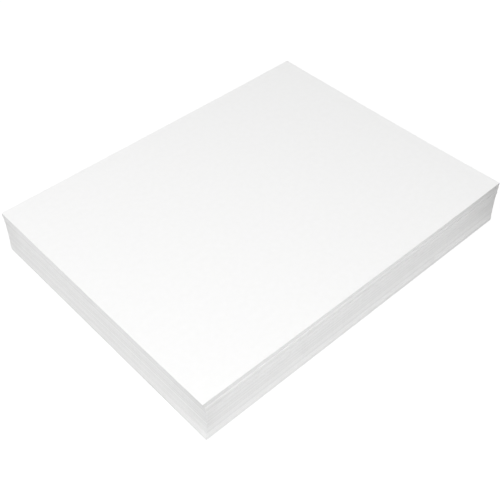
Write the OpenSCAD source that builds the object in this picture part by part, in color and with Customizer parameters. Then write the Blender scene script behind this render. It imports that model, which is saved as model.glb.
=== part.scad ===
// Ream of photo paper: loose cut sheets, knocked up square and set down without a wrapper.
// Every sheet is a solid of its own, kept from the next one by a film of air.
// The long side of the sheets lies along X, and the ream stands centred on the origin.
// A sheet's number is its place in the ream, counted from 1 at the top.

/* [Sheet] */
// Long side of a cut sheet
sheet_l = 355.6; // [200:0.1:460]
// Short side of a cut sheet
sheet_w = 279.4; // [150:0.1:330]
// Thickness of one sheet
caliper = 0.178; // [0.1:0.002:0.4]

/* [Ream] */
// Sheets in the whole ream
ream_sheets = 250; // [100:10:500]
// Film of air between two sheets
air = 0.005; // [0.002:0.001:0.02]

/* [Top lift] */
// Sheets in the topmost lift, which was laid back on the ream askew
top_lift_sheets = 27; // [9:1:60]
// How the top lift's uppermost sheet lies: slip along X, slip along Y, turn in degrees
top_lift_head = [-1.4, -0.78, -0.36]; // [-4:0.01:4]
// How its lowest sheet lies
top_lift_foot = [-0.81, -0.38, -0.2]; // [-4:0.01:4]

/* [Second lift] */
// Sheets in the lift below the top one
second_lift_sheets = 34; // [10:1:90]
// How the second lift's uppermost sheet lies
second_lift_head = [-0.59, -0.75, -0.13]; // [-4:0.01:4]
// How its lowest sheet lies
second_lift_foot = [-0.23, -0.2, -0.05]; // [-4:0.01:4]

/* [Main block] */
// How the main block's uppermost sheet lies
block_head = [-0.03, -0.69, -0.07]; // [-4:0.01:4]
// Sheets from there down to the block's waist, where the sheets have neither slipped nor turned
waist_sheets = 61; // [5:1:120]
// How the block's lowest sheet lies
block_foot = [-1.85, -1.1, -0.2]; // [-4:0.01:4]

/* [Bottom lift] */
// Sheets in the lift that the block stands on
bottom_lift_sheets = 25; // [1:1:60]
// How all of them lie
bottom_lift_lie = [-1.7, -1.25, -0.25]; // [-4:0.01:4]

/* [Jogging] */
// Furthest that one sheet strays from its neighbours
ragged = 0.09; // [0:0.01:0.6]
// Largest angle by which one sheet strays, in degrees
ragged_turn = 0.012; // [0:0.001:0.1]
// Width of the slow sway of the main block's edges, from the middle outwards
sway = 0.05; // [0:0.01:0.8]
// Sheets in one full sway
sway_sheets = 61; // [20:1:200]
// Number that picks one way of jogging the sheets
shuffle = 11; // [1:1:99]

/* [Hidden] */
// Sheets at the top that have a node each
single_sheets = 9;
// Nodes that hold the sheets between those and the bottom sheet
lifts = 48;

sheets = round(ream_sheets);
pitch = caliper + air;
second_lift_end = top_lift_sheets + second_lift_sheets;
waist = second_lift_end + waist_sheets;
block_end = sheets - bottom_lift_sheets;
lifted_sheets = sheets - single_sheets - 1;

// A number with two digits, as it stands in a node's name
function two_digits(n) = str(n < 10 ? "0" : "", n);
function sheet_name(n) = n == 1 ? "top_sheet" : str("sheet_", two_digits(n));
function lift_name(k) = str("lift_", two_digits(k));

// The first and the last sheet that lift k holds
function first_in_lift(k) = single_sheets + 1 + floor((k - 1) * lifted_sheets / lifts);
function last_in_lift(k) = single_sheets + floor(k * lifted_sheets / lifts);

// A lie between two others, of which the share t is the second's
function between(head, foot, t) = head + (foot - head) * min(1, max(0, t));

// How far down sheet n is between two others, as a share that goes from 0 to 1
function share_down(n, first, last) = (n - first) / max(1, last - first);

// A lift fans evenly from the sheet by which it was gripped to the one on which it landed
function top_lie(n) = between(top_lift_head, top_lift_foot, share_down(n, 1, top_lift_sheets));
function second_lie(n) = between(
    second_lift_head, second_lift_foot, share_down(n, top_lift_sheets + 1, second_lift_end)
);

// The main block bows: it leans in from its head to its waist, and out again to its foot
square_lie = [0, 0, 0];
function block_bow(n) =
    n < waist ? between(block_head, square_lie, 1 - pow(1 - share_down(n, second_lift_end + 1, waist), 2))
    : between(square_lie, block_foot, pow(share_down(n, waist, block_end), 2));
function block_sway(n) = sway * [sin(360 * n / sway_sheets), cos(360 * n / sway_sheets), 0];

// How sheet n was put down with the sheets about it
function lift_lie(n) =
    n <= top_lift_sheets ? top_lie(n)
    : n <= second_lift_end ? second_lie(n)
    : n <= block_end ? block_bow(n) + block_sway(n)
    : bottom_lift_lie;

// How sheet n strays by itself
stray = rands(-1, 1, 3 * sheets, shuffle);
function own_lie(n) = [
    ragged * stray[3 * n - 3],
    ragged * stray[3 * n - 2],
    ragged_turn * stray[3 * n - 1]
];

lies = [for (n = [1:sheets]) lift_lie(n) + own_lie(n)];

// Half the room that a sheet turned by a takes up along X and along Y
function half_room(a) = [
    (sheet_l * cos(a) + sheet_w * abs(sin(a))) / 2,
    (sheet_w * cos(a) + sheet_l * abs(sin(a))) / 2
];

// The middle of all the sheets' room, which comes to stand on the origin
function middle(axis) = let (
    low = min([for (lie = lies) lie[axis] - half_room(lie[2])[axis]]),
    high = max([for (lie = lies) lie[axis] + half_room(lie[2])[axis]])
) (low + high) / 2;
middle_x = middle(0);
middle_y = middle(1);

// One cut sheet, lying where its number puts it
module cut_sheet(n) {
    lie = lies[n - 1];
    translate([lie[0] - middle_x, lie[1] - middle_y, (sheets - n) * pitch])
        rotate([0, 0, lie[2]])
            linear_extrude(height = caliper)
                square([sheet_l, sheet_w], center = true);
}

module single_sheet(n) {
    color("white")
        cut_sheet(n);
}

module lift(k) {
    color("white")
        for (n = [first_in_lift(k):last_in_lift(k)])
            cut_sheet(n);
}

module bottom_sheet() {
    color("white")
        cut_sheet(sheets);
}

for (n = [1:single_sheets])
    single_sheet(n);
for (k = [1:lifts])
    lift(k);
bottom_sheet();
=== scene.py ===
# %% [markdown]
# A ream of photo paper is nothing but cut sheets, knocked up square by hand and set down without a
# wrapper. Three things make it look like one: the wide pale sheet on top, two sides made of hundreds of
# cut edges, and the small steps where handfuls of sheets have slipped on each other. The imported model
# already says where every sheet lies. So nothing is placed by eye here: the lesson takes each sheet's
# place from that model, and gives it the true form and finish of cut paper.

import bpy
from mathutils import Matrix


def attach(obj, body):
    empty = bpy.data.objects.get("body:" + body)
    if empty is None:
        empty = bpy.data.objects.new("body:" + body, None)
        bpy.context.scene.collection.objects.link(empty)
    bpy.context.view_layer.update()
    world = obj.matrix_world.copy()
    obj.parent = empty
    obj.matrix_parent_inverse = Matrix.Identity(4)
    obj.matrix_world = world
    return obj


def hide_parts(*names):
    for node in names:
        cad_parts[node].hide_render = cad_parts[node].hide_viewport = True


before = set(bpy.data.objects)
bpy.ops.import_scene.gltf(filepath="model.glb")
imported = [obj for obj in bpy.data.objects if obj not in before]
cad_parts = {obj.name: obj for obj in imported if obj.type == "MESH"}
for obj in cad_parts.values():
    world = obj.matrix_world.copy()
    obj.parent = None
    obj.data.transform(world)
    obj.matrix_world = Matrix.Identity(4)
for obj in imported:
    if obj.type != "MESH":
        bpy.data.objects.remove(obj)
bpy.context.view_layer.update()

# %% The other modules, and the two units that the lesson uses
import math
import random
from collections import namedtuple

import bpy
import numpy as np
from mathutils import Matrix, Vector

MM = 0.001
DEGREE = math.pi / 180

# %% [markdown]
# The photograph looks down on one corner of the ream from arm's length, with both cut sides in view and
# the long one on the right. A camera could be dragged there by hand, but numbers are easier to check and
# to change: the point that it looks at, the compass angle and the height angle that it looks from, its
# distance, and a slight roll, because it was held by hand. The lens is a short telephoto, so the far
# edges shrink only a little.

# %% Place the camera
aim = Vector((-32.5 * MM, -29.7 * MM, 22.9 * MM))
azimuth = 41.94 * DEGREE
elevation = 45.38 * DEGREE
distance = 752.8 * MM
roll = -1.06 * DEGREE
# The lens and the sensor in millimetres, as a camera's data wants them
LENS = 61.07
SENSOR_WIDTH = 36


def camera_axes():
    """The camera's right, up and forward directions, after the roll."""
    forward = Vector((
        math.sin(azimuth) * math.cos(elevation),
        math.cos(azimuth) * math.cos(elevation),
        -math.sin(elevation),
    ))
    level_right = forward.cross(Vector((0, 0, 1))).normalized()
    level_up = level_right.cross(forward)
    right = math.cos(roll) * level_right + math.sin(roll) * level_up
    return right, right.cross(forward), forward


right, up, forward = camera_axes()
camera_data = bpy.data.cameras.new("photo_camera")
camera_data.lens = LENS
camera_data.sensor_width = SENSOR_WIDTH
camera = bpy.data.objects.new("photo_camera", camera_data)
bpy.context.scene.collection.objects.link(camera)
turn = Matrix((right, up, -forward)).transposed().to_4x4()
camera.matrix_world = Matrix.Translation(aim - distance * forward) @ turn
bpy.context.scene.camera = camera
print("camera at", tuple(round(v, 4) for v in camera.matrix_world.translation))

# %% [markdown]
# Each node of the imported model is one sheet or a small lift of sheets, drawn as plain slabs. A slab has
# two levels, its lower and its upper face, and four corners on each. Sorting a node's points by level and
# by corner gives back what the paper cutter knows of a sheet: its size, where its middle lies, and how it
# is turned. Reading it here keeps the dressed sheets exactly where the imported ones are, whatever sizes
# the ream is given.

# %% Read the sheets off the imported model
Sheet = namedtuple("Sheet", "middle along length width bottom thickness")
MICRON_DIGITS = 6


def corner(points, x_sign, y_sign):
    """The point that lies furthest out in one of the four corner directions."""
    return points[np.argmax(points[:, 0] * x_sign + points[:, 1] * y_sign)]


def sheets_of(node):
    """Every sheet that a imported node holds, from its lowest to its highest."""
    points = np.array([v.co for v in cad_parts[node].data.vertices], float)
    height = np.round(points[:, 2], MICRON_DIGITS)
    levels = np.unique(height)
    found = []
    for bottom, top in zip(levels[0::2], levels[1::2]):
        face = points[height == bottom, :2]
        front_left = corner(face, -1, -1)
        along = corner(face, 1, -1) - front_left
        across = corner(face, -1, 1) - front_left
        length = np.linalg.norm(along)
        middle = front_left + along / 2 + across / 2
        found.append(Sheet(middle, along / length, length, np.linalg.norm(across), bottom, top - bottom))
    return found


sheets = {node: sheets_of(node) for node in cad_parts}
whole_ream = sorted((s for held in sheets.values() for s in held), key=lambda s: s.bottom)
caliper = whole_ream[0].thickness
pitch = whole_ream[1].bottom - whole_ream[0].bottom
print("sheets:", len(whole_ream), "thickness:", round(caliper / MM, 4), "pitch:", round(pitch / MM, 4), "mm")

# %% [markdown]
# Loose paper holds air. Between the corners the weight of the ream has pressed about half of it out,
# while at the corners, where hands knocked them up, it is still there. The sides of a real ream are
# therefore a hair lower in the middle than at their ends. No two corners are alike: the left one is
# pressed down too, and at the right one the uppermost sheets curl up by less than a millimetre, so that
# air lies under them and shows as a dark wedge. A physics simulation of hundreds of stiff sheets would be
# slow and would change nothing that shows, so a short formula does it. It takes air out from under each
# sheet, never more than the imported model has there, and so the sheets sink together and not through each
# other.

# %% Let the ream settle
half_length = whole_ream[0].length / 2
half_width = whole_ream[0].width / 2
ream_height = whole_ream[-1].bottom
air_share = 1 - caliper / pitch
MIDDLE_PRESSED = 0.55
LEFT_CORNER_PRESSED = 0.5
RIGHT_CORNER_PRESSED = 0.95
CURL_STARTS = 0.78
CURL_RISE = 1.6
SWELL = 0.15
SWELL_WAVES = (5.1, 3.7)
SWELL_STARTS = (1.9, 0.6)


def pressed(u, v, height):
    """The share of its air that a point has lost, which is below 0 where a corner curls up.

    Its place goes from -1 to 1 each way, and its height from 0 to 1.
    """
    near_corner = (u * v) ** 2
    left_corner = (1 - u) * (1 + v) / 4
    right_corner = (1 + u) * (1 - v) / 4
    curl = np.clip((height - CURL_STARTS) / (1 - CURL_STARTS), 0, 1) ** 2
    at_left = LEFT_CORNER_PRESSED * left_corner
    at_right = RIGHT_CORNER_PRESSED * right_corner * (1 - CURL_RISE * curl)
    wave_x = np.sin(SWELL_WAVES[0] * u + SWELL_STARTS[0])
    wave_y = np.cos(SWELL_WAVES[1] * v + SWELL_STARTS[1])
    swell = 1 + SWELL * wave_x * wave_y
    return MIDDLE_PRESSED * swell * (1 - near_corner) + (at_left + at_right) * near_corner


def sunk(x, y, bottom):
    """How far a sheet that lay at this height has come down at a point."""
    u = np.clip(x / half_length, -1, 1)
    v = np.clip(y / half_width, -1, 1)
    return bottom * air_share * pressed(u, v, bottom / ream_height)


measured_places = {
    "middle": (0, 0),
    "left corner": (-1, 1),
    "right corner": (1, -1),
    "near corner": (-1, -1),
}
for place, (u, v) in measured_places.items():
    depth = sunk(u * half_length, v * half_width, ream_height)
    print("the top sheet's", place, "sinks by", round(depth / MM, 2), "mm")

# %% [markdown]
# A guillotine leaves its mark on each sheet. The blade presses the upper edge down a few hundredths of a
# millimetre before it bites, and pulls a slight burr at the lower edge. So the cut edge isn't a plain
# strip: it is a small rounded bead, and between two beads lies a fine groove that holds a shadow. That
# groove is what makes the side of a stack look like paper and not like plaster. It is modelled as a
# profile of a few points, because a bevel modifier can't round the two edges of a slab differently.

# %% Draw the profile of a cut edge
# How far in from the cut each point lies, and how far below the upper face, both in shares of the thickness
edge_profile = [
    (1.10, 0.00),
    (0.26, 0.03),
    (0.08, 0.12),
    (0.00, 0.34),
    (0.00, 0.80),
    (0.06, 0.95),
    (0.20, 1.00),
]
flat_margin = edge_profile[0][0] * caliper
print("the upper face stays flat up to", round(flat_margin / MM, 3), "mm from the cut")

# %% [markdown]
# One sheet is then a closed skin: a net of points for the upper face, a net for the lower one, and bands
# of the edge profile that join them all round. A plane with a Solidify modifier would be quicker to make,
# but it could carry neither the profile nor the settling. The net is coarse, because paper bends only
# slowly, and its rim has as many points as the nets' sides, so that no band ends in an open seam.

# %% Number the points of one sheet
CELLS_LONG = 14
CELLS_SHORT = 11
FACE, EDGE, BACK = 0, 1, 2


def net_number(i, j):
    """The number of a net's point, counted along the long side first."""
    return j * (CELLS_LONG + 1) + i


NET_POINTS = (CELLS_LONG + 1) * (CELLS_SHORT + 1)
rim_walk = (
    [(i, 0) for i in range(CELLS_LONG)]
    + [(CELLS_LONG, j) for j in range(CELLS_SHORT)]
    + [(i, CELLS_SHORT) for i in range(CELLS_LONG, 0, -1)]
    + [(0, j) for j in range(CELLS_SHORT, 0, -1)]
)
print("points in a net:", NET_POINTS, "points round the rim:", len(rim_walk))

# %% Join the points into faces


def sheet_faces():
    """The faces of one sheet as point numbers, and the finish that each of them gets."""
    faces = []
    finishes = []
    for j in range(CELLS_SHORT):
        for i in range(CELLS_LONG):
            quad = [net_number(i, j), net_number(i + 1, j), net_number(i + 1, j + 1), net_number(i, j + 1)]
            faces.append(quad)
            finishes.append(FACE)
            faces.append([NET_POINTS + k for k in reversed(quad)])
            finishes.append(BACK)
    around = len(rim_walk)
    upper = [net_number(i, j) for i, j in rim_walk]
    lower = [NET_POINTS + k for k in upper]
    first_rim = 2 * NET_POINTS
    rims = [[first_rim + r * around + k for k in range(around)] for r in range(len(edge_profile) - 2)]
    rings = [upper, *rims, lower]
    for above, below in zip(rings, rings[1:]):
        for k in range(around):
            n = (k + 1) % around
            faces.append([above[k], below[k], below[n], above[n]])
            finishes.append(EDGE)
    return np.array(faces), np.array(finishes)


one_sheet_faces, one_sheet_finishes = sheet_faces()
print("faces of one sheet:", len(one_sheet_faces), "or", 2 * len(one_sheet_faces), "triangles")

# %% Place the points of one sheet


def sheet_points(sheet):
    """The points of one sheet, settled, in the order in which sheet_faces numbers them."""
    reach_x = sheet.length / 2 - flat_margin
    reach_y = sheet.width / 2 - flat_margin
    across = np.array([-sheet.along[1], sheet.along[0]])
    grid_x, grid_y = np.meshgrid(
        np.linspace(-reach_x, reach_x, CELLS_LONG + 1),
        np.linspace(-reach_y, reach_y, CELLS_SHORT + 1),
    )
    net = np.column_stack([grid_x.ravel(), grid_y.ravel()])
    rim = np.array([net[net_number(i, j)] for i, j in rim_walk])
    outward = np.array([
        ((i == CELLS_LONG) - (i == 0), (j == CELLS_SHORT) - (j == 0)) for i, j in rim_walk
    ], float)
    layers = [(net, 0.0), (net, 1.0)]
    for inset, depth in edge_profile[1:-1]:
        layers.append((rim + outward * (flat_margin - inset * caliper), depth))
    points = []
    for flat, depth in layers:
        place = sheet.middle + flat[:, :1] * sheet.along + flat[:, 1:] * across
        height = sheet.bottom + (1 - depth) * sheet.thickness - sunk(place[:, 0], place[:, 1], sheet.bottom)
        points.append(np.column_stack([place, height]))
    return np.vstack(points)


print("points of one sheet:", len(sheet_points(whole_ream[0])))

# %% [markdown]
# The coated face of photo paper is smooth and very white, but it isn't a flat colour. Under the coating
# the fibres lie in faint clouds a few millimetres wide, which a lamp shows as the softest mottling, and
# the coating has a fine tooth that keeps it from shining like glass. A photograph of paper as a texture
# would repeat and would only fit one view, so layered noise in the sheet's own millimetres makes both.

# %% Start a material


def new_material(name):
    """An empty node material with its output and one Principled shader."""
    material = bpy.data.materials.new(name)
    material.use_nodes = True
    nodes = material.node_tree.nodes
    nodes.clear()
    shader = nodes.new("ShaderNodeBsdfPrincipled")
    output = nodes.new("ShaderNodeOutputMaterial")
    material.node_tree.links.new(shader.outputs["BSDF"], output.inputs["Surface"])
    return material, shader


print("materials before the paper's own:", len(bpy.data.materials))

# %% [markdown]
# Blender's noise is a cloud of numbers that lie mostly between 0.3 and 0.7. Its lumps are given here in
# metres, because a finish whose grain is measured like the object itself stays true when the object is
# made larger. The same cloud can then say how light, how dull or how high the surface is at each point.

# %% Make a noise and spread its range
NOISE_LOW = 0.3
NOISE_HIGH = 0.7


def cloud_noise(material, size, detail=2.0, stretch=(1, 1, 1)):
    """A noise whose lumps measure about size, in metres, times stretch along each axis. Gives its height."""
    nodes = material.node_tree.nodes
    links = material.node_tree.links
    place = nodes.new("ShaderNodeTexCoord")
    scale = nodes.new("ShaderNodeMapping")
    scale.inputs["Scale"].default_value = [1 / (size * s) for s in stretch]
    noise = nodes.new("ShaderNodeTexNoise")
    noise.inputs["Scale"].default_value = 1.0
    noise.inputs["Detail"].default_value = detail
    links.new(place.outputs["Object"], scale.inputs["Vector"])
    links.new(scale.outputs["Vector"], noise.inputs["Vector"])
    return noise.outputs["Fac"]


def between(material, factor, low, high):
    """Turns a factor from the range where noise mostly lies into a number from low to high."""
    span = material.node_tree.nodes.new("ShaderNodeMapRange")
    span.inputs["From Min"].default_value = NOISE_LOW
    span.inputs["From Max"].default_value = NOISE_HIGH
    span.inputs["To Min"].default_value = low
    span.inputs["To Max"].default_value = high
    material.node_tree.links.new(factor, span.inputs["Value"])
    return span.outputs["Result"]


print("noise is read from", NOISE_LOW, "to", NOISE_HIGH)

# %% Tint and roughen by a noise
# The numbers of the mix node's factor, its two colours and its colour result
MIX_FACTOR, MIX_DARK, MIX_LIGHT, MIX_RESULT = 0, 6, 7, 2


def tinted(material, factor, dark, light):
    """A colour that goes from dark to light as the factor goes from 0 to 1."""
    mix = material.node_tree.nodes.new("ShaderNodeMix")
    mix.data_type = "RGBA"
    mix.inputs[MIX_DARK].default_value = (*dark, 1)
    mix.inputs[MIX_LIGHT].default_value = (*light, 1)
    material.node_tree.links.new(factor, mix.inputs[MIX_FACTOR])
    return mix.outputs[MIX_RESULT]


def roughened(material, height, depth, below=None):
    """A normal that rises and falls by depth, in metres, as the height goes from 0 to 1."""
    bump = material.node_tree.nodes.new("ShaderNodeBump")
    bump.inputs["Strength"].default_value = 1.0
    bump.inputs["Distance"].default_value = depth
    material.node_tree.links.new(height, bump.inputs["Height"])
    if below is not None:
        material.node_tree.links.new(below, bump.inputs["Normal"])
    return bump.outputs["Normal"]


print("mix node sockets in use:", MIX_FACTOR, MIX_DARK, MIX_LIGHT, "and result", MIX_RESULT)

# %% Make the coated face
FACE_COLOURS = ((0.918, 0.918, 0.914), (0.934, 0.934, 0.932))
FACE_ROUGHNESS = (0.46, 0.54)
FORMATION_SIZE = 5 * MM
SHEEN_SIZE = 22 * MM
COCKLE_SIZE = 45 * MM
COCKLE_DEPTH = 0.06 * MM
TOOTH_SIZE = 0.35 * MM
TOOTH_DEPTH = 0.0012 * MM


def coated_face():
    """The smooth white side that is printed on."""
    material, shader = new_material("coated_face")
    links = material.node_tree.links
    formation = cloud_noise(material, FORMATION_SIZE, detail=3.0)
    colour = tinted(material, between(material, formation, 0, 1), *FACE_COLOURS)
    links.new(colour, shader.inputs["Base Color"])
    sheen_clouds = cloud_noise(material, SHEEN_SIZE)
    links.new(between(material, sheen_clouds, *FACE_ROUGHNESS), shader.inputs["Roughness"])
    cockle = roughened(material, cloud_noise(material, COCKLE_SIZE, detail=0.0), COCKLE_DEPTH)
    tooth = roughened(material, cloud_noise(material, TOOTH_SIZE, detail=1.0), TOOTH_DEPTH, below=cockle)
    links.new(tooth, shader.inputs["Normal"])
    return material


print("the face's tooth is", round(TOOTH_SIZE / MM, 2), "mm wide")

# %% [markdown]
# The back of the sheet is the same white base with a thinner, duller coat, and nothing is printed on it.
# Only the bottom sheet ever shows it, to someone who turns the ream over, but each sheet has one.

# %% Make the back
BACK_COLOURS = ((0.885, 0.884, 0.878), (0.915, 0.914, 0.91))
BACK_ROUGHNESS = (0.62, 0.72)
BACK_FORMATION_SIZE = 4 * MM
BACK_SHEEN_SIZE = 9 * MM
BACK_TOOTH_SIZE = 0.6 * MM
BACK_TOOTH_DEPTH = 0.004 * MM


def plain_back():
    """The duller side, which lies downwards."""
    material, shader = new_material("plain_back")
    links = material.node_tree.links
    formation = cloud_noise(material, BACK_FORMATION_SIZE, detail=4.0)
    colour = tinted(material, between(material, formation, 0, 1), *BACK_COLOURS)
    links.new(colour, shader.inputs["Base Color"])
    sheen_clouds = cloud_noise(material, BACK_SHEEN_SIZE)
    links.new(between(material, sheen_clouds, *BACK_ROUGHNESS), shader.inputs["Roughness"])
    tooth = roughened(material, cloud_noise(material, BACK_TOOTH_SIZE), BACK_TOOTH_DEPTH)
    links.new(tooth, shader.inputs["Normal"])
    return material


print("the back's roughness goes from", BACK_ROUGHNESS[0], "to", BACK_ROUGHNESS[1])

# %% [markdown]
# The cut edge shows the paper's core, which has no coating: dull, fibrous and a shade darker than the
# face. Two marks run over it. Fibres lie along the sheet, so they are noise that is stretched lengthwise.
# Nicks of the blade run straight down through many sheets, so they are noise that is stretched upwards.
# Each sheet also has a tone of its own, with painted shade and painted highlights laid on it, which is
# stored in its mesh, because a noise in space can't know where one sheet ends.

# %% Make the cut edge
TONE_AND_PAINTED_LIGHT = "sheet_tone_and_painted_light"
CUT_COLOURS = ((0.7, 0.699, 0.696), (0.925, 0.925, 0.923))
CUT_ROUGHNESS = (0.78, 0.95)
FIBRE_SIZE = 0.08 * MM
FIBRE_STRETCH = (7, 7, 1)
FIBRE_SHADE = 0.75
FIBRE_DEPTH = 0.006 * MM
NICK_SIZE = 0.9 * MM
NICK_STRETCH = (1, 1, 30)
NICK_SHADE = 0.86
NICK_DEPTH = 0.012 * MM


def cut_edge():
    """The bare core of the paper, as the blade left it."""
    material, shader = new_material("cut_edge")
    nodes = material.node_tree.nodes
    links = material.node_tree.links
    # This attribute carries each sheet's tone together with painted shade and painted highlights
    tone = nodes.new("ShaderNodeAttribute")
    tone.attribute_name = TONE_AND_PAINTED_LIGHT
    fibres = cloud_noise(material, FIBRE_SIZE, detail=3.0, stretch=FIBRE_STRETCH)
    nicks = cloud_noise(material, NICK_SIZE, stretch=NICK_STRETCH)
    marks = nodes.new("ShaderNodeMath")
    marks.operation = "MULTIPLY"
    links.new(between(material, fibres, FIBRE_SHADE, 1), marks.inputs[0])
    links.new(between(material, nicks, NICK_SHADE, 1), marks.inputs[1])
    shade = nodes.new("ShaderNodeMath")
    shade.operation = "MULTIPLY"
    links.new(marks.outputs[0], shade.inputs[0])
    links.new(tone.outputs["Fac"], shade.inputs[1])
    links.new(tinted(material, shade.outputs[0], *CUT_COLOURS), shader.inputs["Base Color"])
    links.new(between(material, fibres, *CUT_ROUGHNESS), shader.inputs["Roughness"])
    rough_cut = roughened(material, nicks, NICK_DEPTH)
    links.new(roughened(material, fibres, FIBRE_DEPTH, below=rough_cut), shader.inputs["Normal"])
    return material


finishes = [coated_face(), cut_edge(), plain_back()]
print("finishes:", [material.name for material in finishes])

# %% [markdown]
# Each sheet gets a number that sets the tone of its edge. A blade never cuts two sheets quite alike: one
# edge comes out smooth and bright, the next one bruised and dull. Seen from a step away these tones run
# together into the fine streaks of a stack. The same number also carries painted light and shade. Towards
# the corners, most of all the right one, the edges of the upper sheets are painted a trace greyer: painted
# shade for the shadow under the overhanging top sheets. The foot of the long side is painted a trace
# lighter towards the near corner, which is painted light. Where one lift steps back from the next, the
# sheets just below the ledge are painted brighter, a painted highlight of the lit ledge. A mesh can carry
# such a number at each of its points, which costs nothing and moves with the sheet.

# %% Find the sheets below a ledge, whose edges get a painted highlight
LEDGE = 0.3 * MM
# Sheets just below a ledge get a painted highlight: their edges are painted lighter
LEDGE_PAINTED_HIGHLIGHT = 0.4
PAINTED_HIGHLIGHT_SHEETS = 12


def painted_ledge_highlights():
    """How much painted highlight each sheet's edge gets, from the top one down, for lying just below a
    ledge.
    """
    found = []
    highlight_level = 0.0
    above = whole_ream[-1]
    for sheet in reversed(whole_ream):
        stands_out = np.linalg.norm(sheet.middle - above.middle) > LEDGE
        highlight_level = LEDGE_PAINTED_HIGHLIGHT if stands_out else highlight_level * math.exp(-1 / PAINTED_HIGHLIGHT_SHEETS)
        found.append(highlight_level)
        above = sheet
    return found


ledge_highlight_levels = painted_ledge_highlights()
print("ledges above sheets:", [n for n, highlight_level in enumerate(ledge_highlight_levels, 1) if highlight_level == LEDGE_PAINTED_HIGHLIGHT])

# %% Give every sheet its tone, with painted shade and painted light
tone_dice = random.Random(27)
DULLEST_EDGE = 0.35
BRIGHTEST_EDGE = 1.12
# Painted shade: the upper sheets' edges are painted darker towards the corners, most at the right one
CORNER_PAINTED_SHADE = 0.45
RIGHT_PAINTED_SHADE = 1.2
# Painted light: the foot of the long side is painted lighter towards the near corner
FOOT_PAINTED_LIGHT = 0.42
FOOT_HEIGHT = 0.3
# How steeply the painted shade fades away from the corners, and how it fades downwards at the right one
CORNER_FADE = 8
RIGHT_CORNER_FADE = 4
RIGHT_FADE_DOWN = 0.5
# Each sheet's random tone, plus the painted highlight below a ledge
tones = {
    sheet.bottom: tone_dice.uniform(DULLEST_EDGE, BRIGHTEST_EDGE) + highlight_level
    for sheet, highlight_level in zip(reversed(whole_ream), ledge_highlight_levels)
}


def edge_tones_and_painted_light(sheet, points):
    """The tone at each of a sheet's points, with painted shade towards the corners and painted light at the
    foot.
    """
    u = points[:, 0] / half_length
    v = points[:, 1] / half_width
    height = sheet.bottom / ream_height
    cornered = np.minimum(np.abs(u * v), 1)
    at_long_side = ((1 - v) / 2) ** CORNER_FADE * (1 - u) / 2
    at_right = (1 + u) * (1 - v) / 4
    # Painted shade towards the corners, deepest at the right one
    held = CORNER_PAINTED_SHADE * height * cornered ** CORNER_FADE * (1 - at_right)
    painted_right_shade = RIGHT_PAINTED_SHADE * height ** RIGHT_FADE_DOWN * cornered ** RIGHT_CORNER_FADE * at_right
    # Painted light at the foot of the long side, towards the near corner
    painted_foot_light = FOOT_PAINTED_LIGHT * max(0, 1 - height / FOOT_HEIGHT) * at_long_side
    return tones[sheet.bottom] - held - painted_right_shade + painted_foot_light


print("tones from", round(min(tones.values()), 2), "to", round(max(tones.values()), 2))

# %% [markdown]
# Now every imported node gets its dressed piece: the sheets that it holds, in one mesh. An object for each
# single sheet would also do, but it would make a long list of objects that nobody moves one by one. A
# ream has no moving parts, so every piece rides on the root. Each piece is named after its imported node,
# and that node is hidden.

# %% Build the pieces
SMOOTH_UP_TO = 60 * DEGREE


def dressed(node):
    """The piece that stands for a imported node: all of its sheets, in one mesh."""
    points = [sheet_points(sheet) for sheet in sheets[node]]
    count = len(points[0])
    faces = np.vstack([one_sheet_faces + k * count for k in range(len(points))])
    mesh = bpy.data.meshes.new(f"{node}_paper")
    mesh.from_pydata(np.vstack(points).tolist(), [], faces.tolist())
    for material in finishes:
        mesh.materials.append(material)
    mesh.polygons.foreach_set("material_index", np.tile(one_sheet_finishes, len(points)))
    mesh.polygons.foreach_set("use_smooth", np.ones(len(faces), bool))
    mesh.set_sharp_from_angle(angle=SMOOTH_UP_TO)
    tone = mesh.attributes.new(TONE_AND_PAINTED_LIGHT, "FLOAT", "POINT")
    tone.data.foreach_set("value", np.concatenate([edge_tones_and_painted_light(s, p) for s, p in zip(sheets[node], points)]))
    mesh.update()
    piece = bpy.data.objects.new(f"{node}_paper", mesh)
    bpy.context.scene.collection.objects.link(piece)
    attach(piece, "root")
    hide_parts(node)
    return piece


pieces = [dressed(node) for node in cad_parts]
triangles = sum(len(p.vertices) - 2 for piece in pieces for p in piece.data.polygons)
print("pieces:", len(pieces), "triangles:", triangles)

# %% [markdown]
# The ream lies on a white table in a white room. The floor is a plain pale surface that throws light back
# at the cut sides, as a real table does, and it takes the ream's shadow. To the camera it also glows a
# little, so that the ground around the paper comes out white without a stronger lamp on the paper itself.

# %% Lay the floor
FLOOR_SIZE = 6.0
TABLE_COLOUR = (0.86, 0.86, 0.86, 1)
GLOW_SHARE = 0.75
GLOW_STRENGTH = 1.15


def seen_directly(nodes, links):
    """1 for what the camera sees, also in gloss or through glass, and 0 for light that bounces."""
    path = nodes.new("ShaderNodeLightPath")
    glossy = nodes.new("ShaderNodeMath")
    glossy.operation = "MAXIMUM"
    links.new(path.outputs["Is Camera Ray"], glossy.inputs[0])
    links.new(path.outputs["Is Glossy Ray"], glossy.inputs[1])
    seen = nodes.new("ShaderNodeMath")
    seen.operation = "MAXIMUM"
    links.new(glossy.outputs[0], seen.inputs[0])
    links.new(path.outputs["Is Transmission Ray"], seen.inputs[1])
    return seen.outputs[0]


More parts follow.
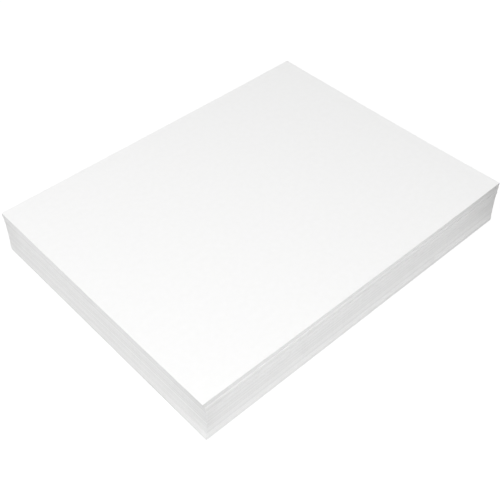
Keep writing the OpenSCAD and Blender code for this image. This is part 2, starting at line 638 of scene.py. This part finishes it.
def floor_material():
    """A pale matt table that glows a little where it is looked at."""
    material = bpy.data.materials.new("white_table")
    material.use_nodes = True
    nodes = material.node_tree.nodes
    links = material.node_tree.links
    nodes.clear()
    matt = nodes.new("ShaderNodeBsdfDiffuse")
    matt.inputs["Color"].default_value = TABLE_COLOUR
    glow = nodes.new("ShaderNodeEmission")
    glow.inputs["Color"].default_value = (1, 1, 1, 1)
    glow.inputs["Strength"].default_value = GLOW_STRENGTH
    share = nodes.new("ShaderNodeMath")
    share.operation = "MULTIPLY"
    share.inputs[1].default_value = GLOW_SHARE
    mix = nodes.new("ShaderNodeMixShader")
    output = nodes.new("ShaderNodeOutputMaterial")
    links.new(seen_directly(nodes, links), share.inputs[0])
    links.new(share.outputs[0], mix.inputs["Fac"])
    links.new(matt.outputs["BSDF"], mix.inputs[1])
    links.new(glow.outputs["Emission"], mix.inputs[2])
    links.new(mix.outputs["Shader"], output.inputs["Surface"])
    return material


bpy.ops.mesh.primitive_plane_add(size=FLOOR_SIZE, location=(0, 0, 0))
floor = bpy.context.object
floor.name = "table_top"
floor.data.materials.append(floor_material())
print("floor:", FLOOR_SIZE, "m wide")

# %% [markdown]
# The light is that of a product table: a white room all round, one large soft lamp over the near corner,
# and a weak fill lamp for each of the two sides. The room alone would light both sides alike and flatten
# them. The large lamp makes the top the brightest face, brightest near the camera, and lets the tone fall
# off gently towards the far corners. The fill lamps set how light each side is by itself. All levels are
# plain, so that white paper renders just under white.

# %% Light the room
ROOM_LEVEL = 0.665


def white_room():
    """The world: an even white that is full white only where it is looked at."""
    world = bpy.data.worlds.new("white_room")
    world.use_nodes = True
    nodes = world.node_tree.nodes
    links = world.node_tree.links
    nodes.clear()
    light = nodes.new("ShaderNodeBackground")
    light.inputs["Color"].default_value = (1, 1, 1, 1)
    light.inputs["Strength"].default_value = ROOM_LEVEL
    backdrop = nodes.new("ShaderNodeBackground")
    backdrop.inputs["Color"].default_value = (1, 1, 1, 1)
    backdrop.inputs["Strength"].default_value = 1.0
    mix = nodes.new("ShaderNodeMixShader")
    output = nodes.new("ShaderNodeOutputWorld")
    links.new(seen_directly(nodes, links), mix.inputs["Fac"])
    links.new(light.outputs["Background"], mix.inputs[1])
    links.new(backdrop.outputs["Background"], mix.inputs[2])
    links.new(mix.outputs["Shader"], output.inputs["Surface"])
    return world


bpy.context.scene.world = white_room()
print("room level:", ROOM_LEVEL)

# %% Hang the soft lamp


def soft_lamp(name, place, towards, size, power):
    """A square lamp of that size in metres and power in watts, hung at a place and turned to a point."""
    data = bpy.data.lights.new(name, "AREA")
    data.shape = "SQUARE"
    data.size = size
    data.energy = power
    lamp = bpy.data.objects.new(name, data)
    bpy.context.scene.collection.objects.link(lamp)
    lamp.location = place
    lamp.rotation_mode = "QUATERNION"
    lamp.rotation_quaternion = (Vector(towards) - Vector(place)).to_track_quat("-Z", "Y")
    return lamp


OVER_PLACE = Vector((-0.35, -0.3, 1.0))
OVER_AIM_SHARE = 0.6
OVER_SIZE = 0.4
OVER_POWER = 3.35
over_aim = Vector((OVER_PLACE.x * OVER_AIM_SHARE, OVER_PLACE.y * OVER_AIM_SHARE, 0))
over = soft_lamp("over_lamp", OVER_PLACE, over_aim, OVER_SIZE, OVER_POWER)
print("lamp:", over.name, OVER_POWER, "W")

# %% Set the two fill lamps
FILL_TARGET = Vector((-0.10, -0.08, 0.03))
fill_lamps = {
    "long_side_fill": {"compass": 250, "rise": 12, "away": 0.6, "power": 0.46},
    "short_side_fill": {"compass": 135, "rise": 35, "away": 1.0, "power": 0.98},
}
for name, fill in fill_lamps.items():
    compass = fill["compass"] * DEGREE
    rise = fill["rise"] * DEGREE
    direction = Vector((
        math.cos(compass) * math.cos(rise),
        math.sin(compass) * math.cos(rise),
        math.sin(rise),
    ))
    soft_lamp(name, FILL_TARGET + fill["away"] * direction, FILL_TARGET, fill["away"] / 2, fill["power"])
    print("lamp:", name, fill["power"], "W")

# %% [markdown]
# A dressed ream must keep the size of the imported one. Here only the curled corner rises above it, by less
# than a millimetre.

# %% Set the view transform
bpy.context.view_layer.update()
bpy.context.scene.view_settings.view_transform = "Standard"
